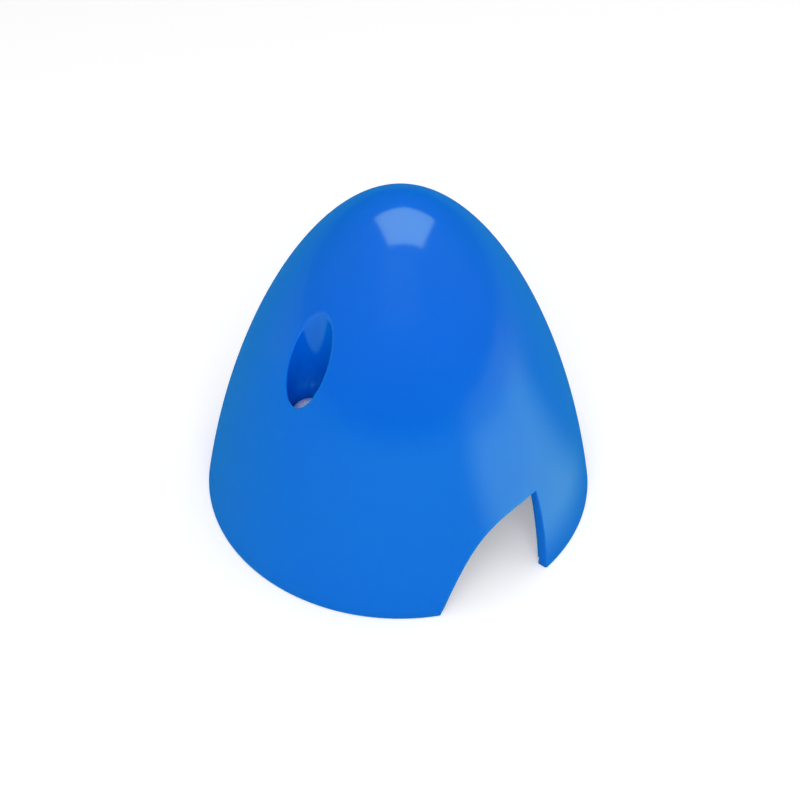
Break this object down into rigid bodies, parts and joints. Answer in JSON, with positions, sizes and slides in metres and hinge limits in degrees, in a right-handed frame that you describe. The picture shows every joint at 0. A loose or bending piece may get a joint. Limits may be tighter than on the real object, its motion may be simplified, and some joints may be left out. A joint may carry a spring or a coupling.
{
  "type": "propeller spinner",
  "caption": "Hollow rounded nose cone for a two-blade model-aircraft propeller, with swept blade cut-outs and deep screw wells that hold its fixing screws.",
  "frame": {"origin": "centre of the base, in the plane of the rim", "axes": "+Z along the shaft's axis to the nose; the blades leave along +X and -X; the wells lie 75.5 degrees clockwise of the blade axis, seen from the nose"},
  "size_m": [0.0542, 0.057, 0.053],
  "materials": {
    "cone_plastic": "gloss moulded, sky to mid blue, coloured through",
    "screw_steel": "bright zinc-plated steel"
  },
  "bodies": {
    "root": {"spinner_cone": "cone_plastic", "screw_1": "screw_steel", "screw_2": "screw_steel"}
  },
  "joints": []
}
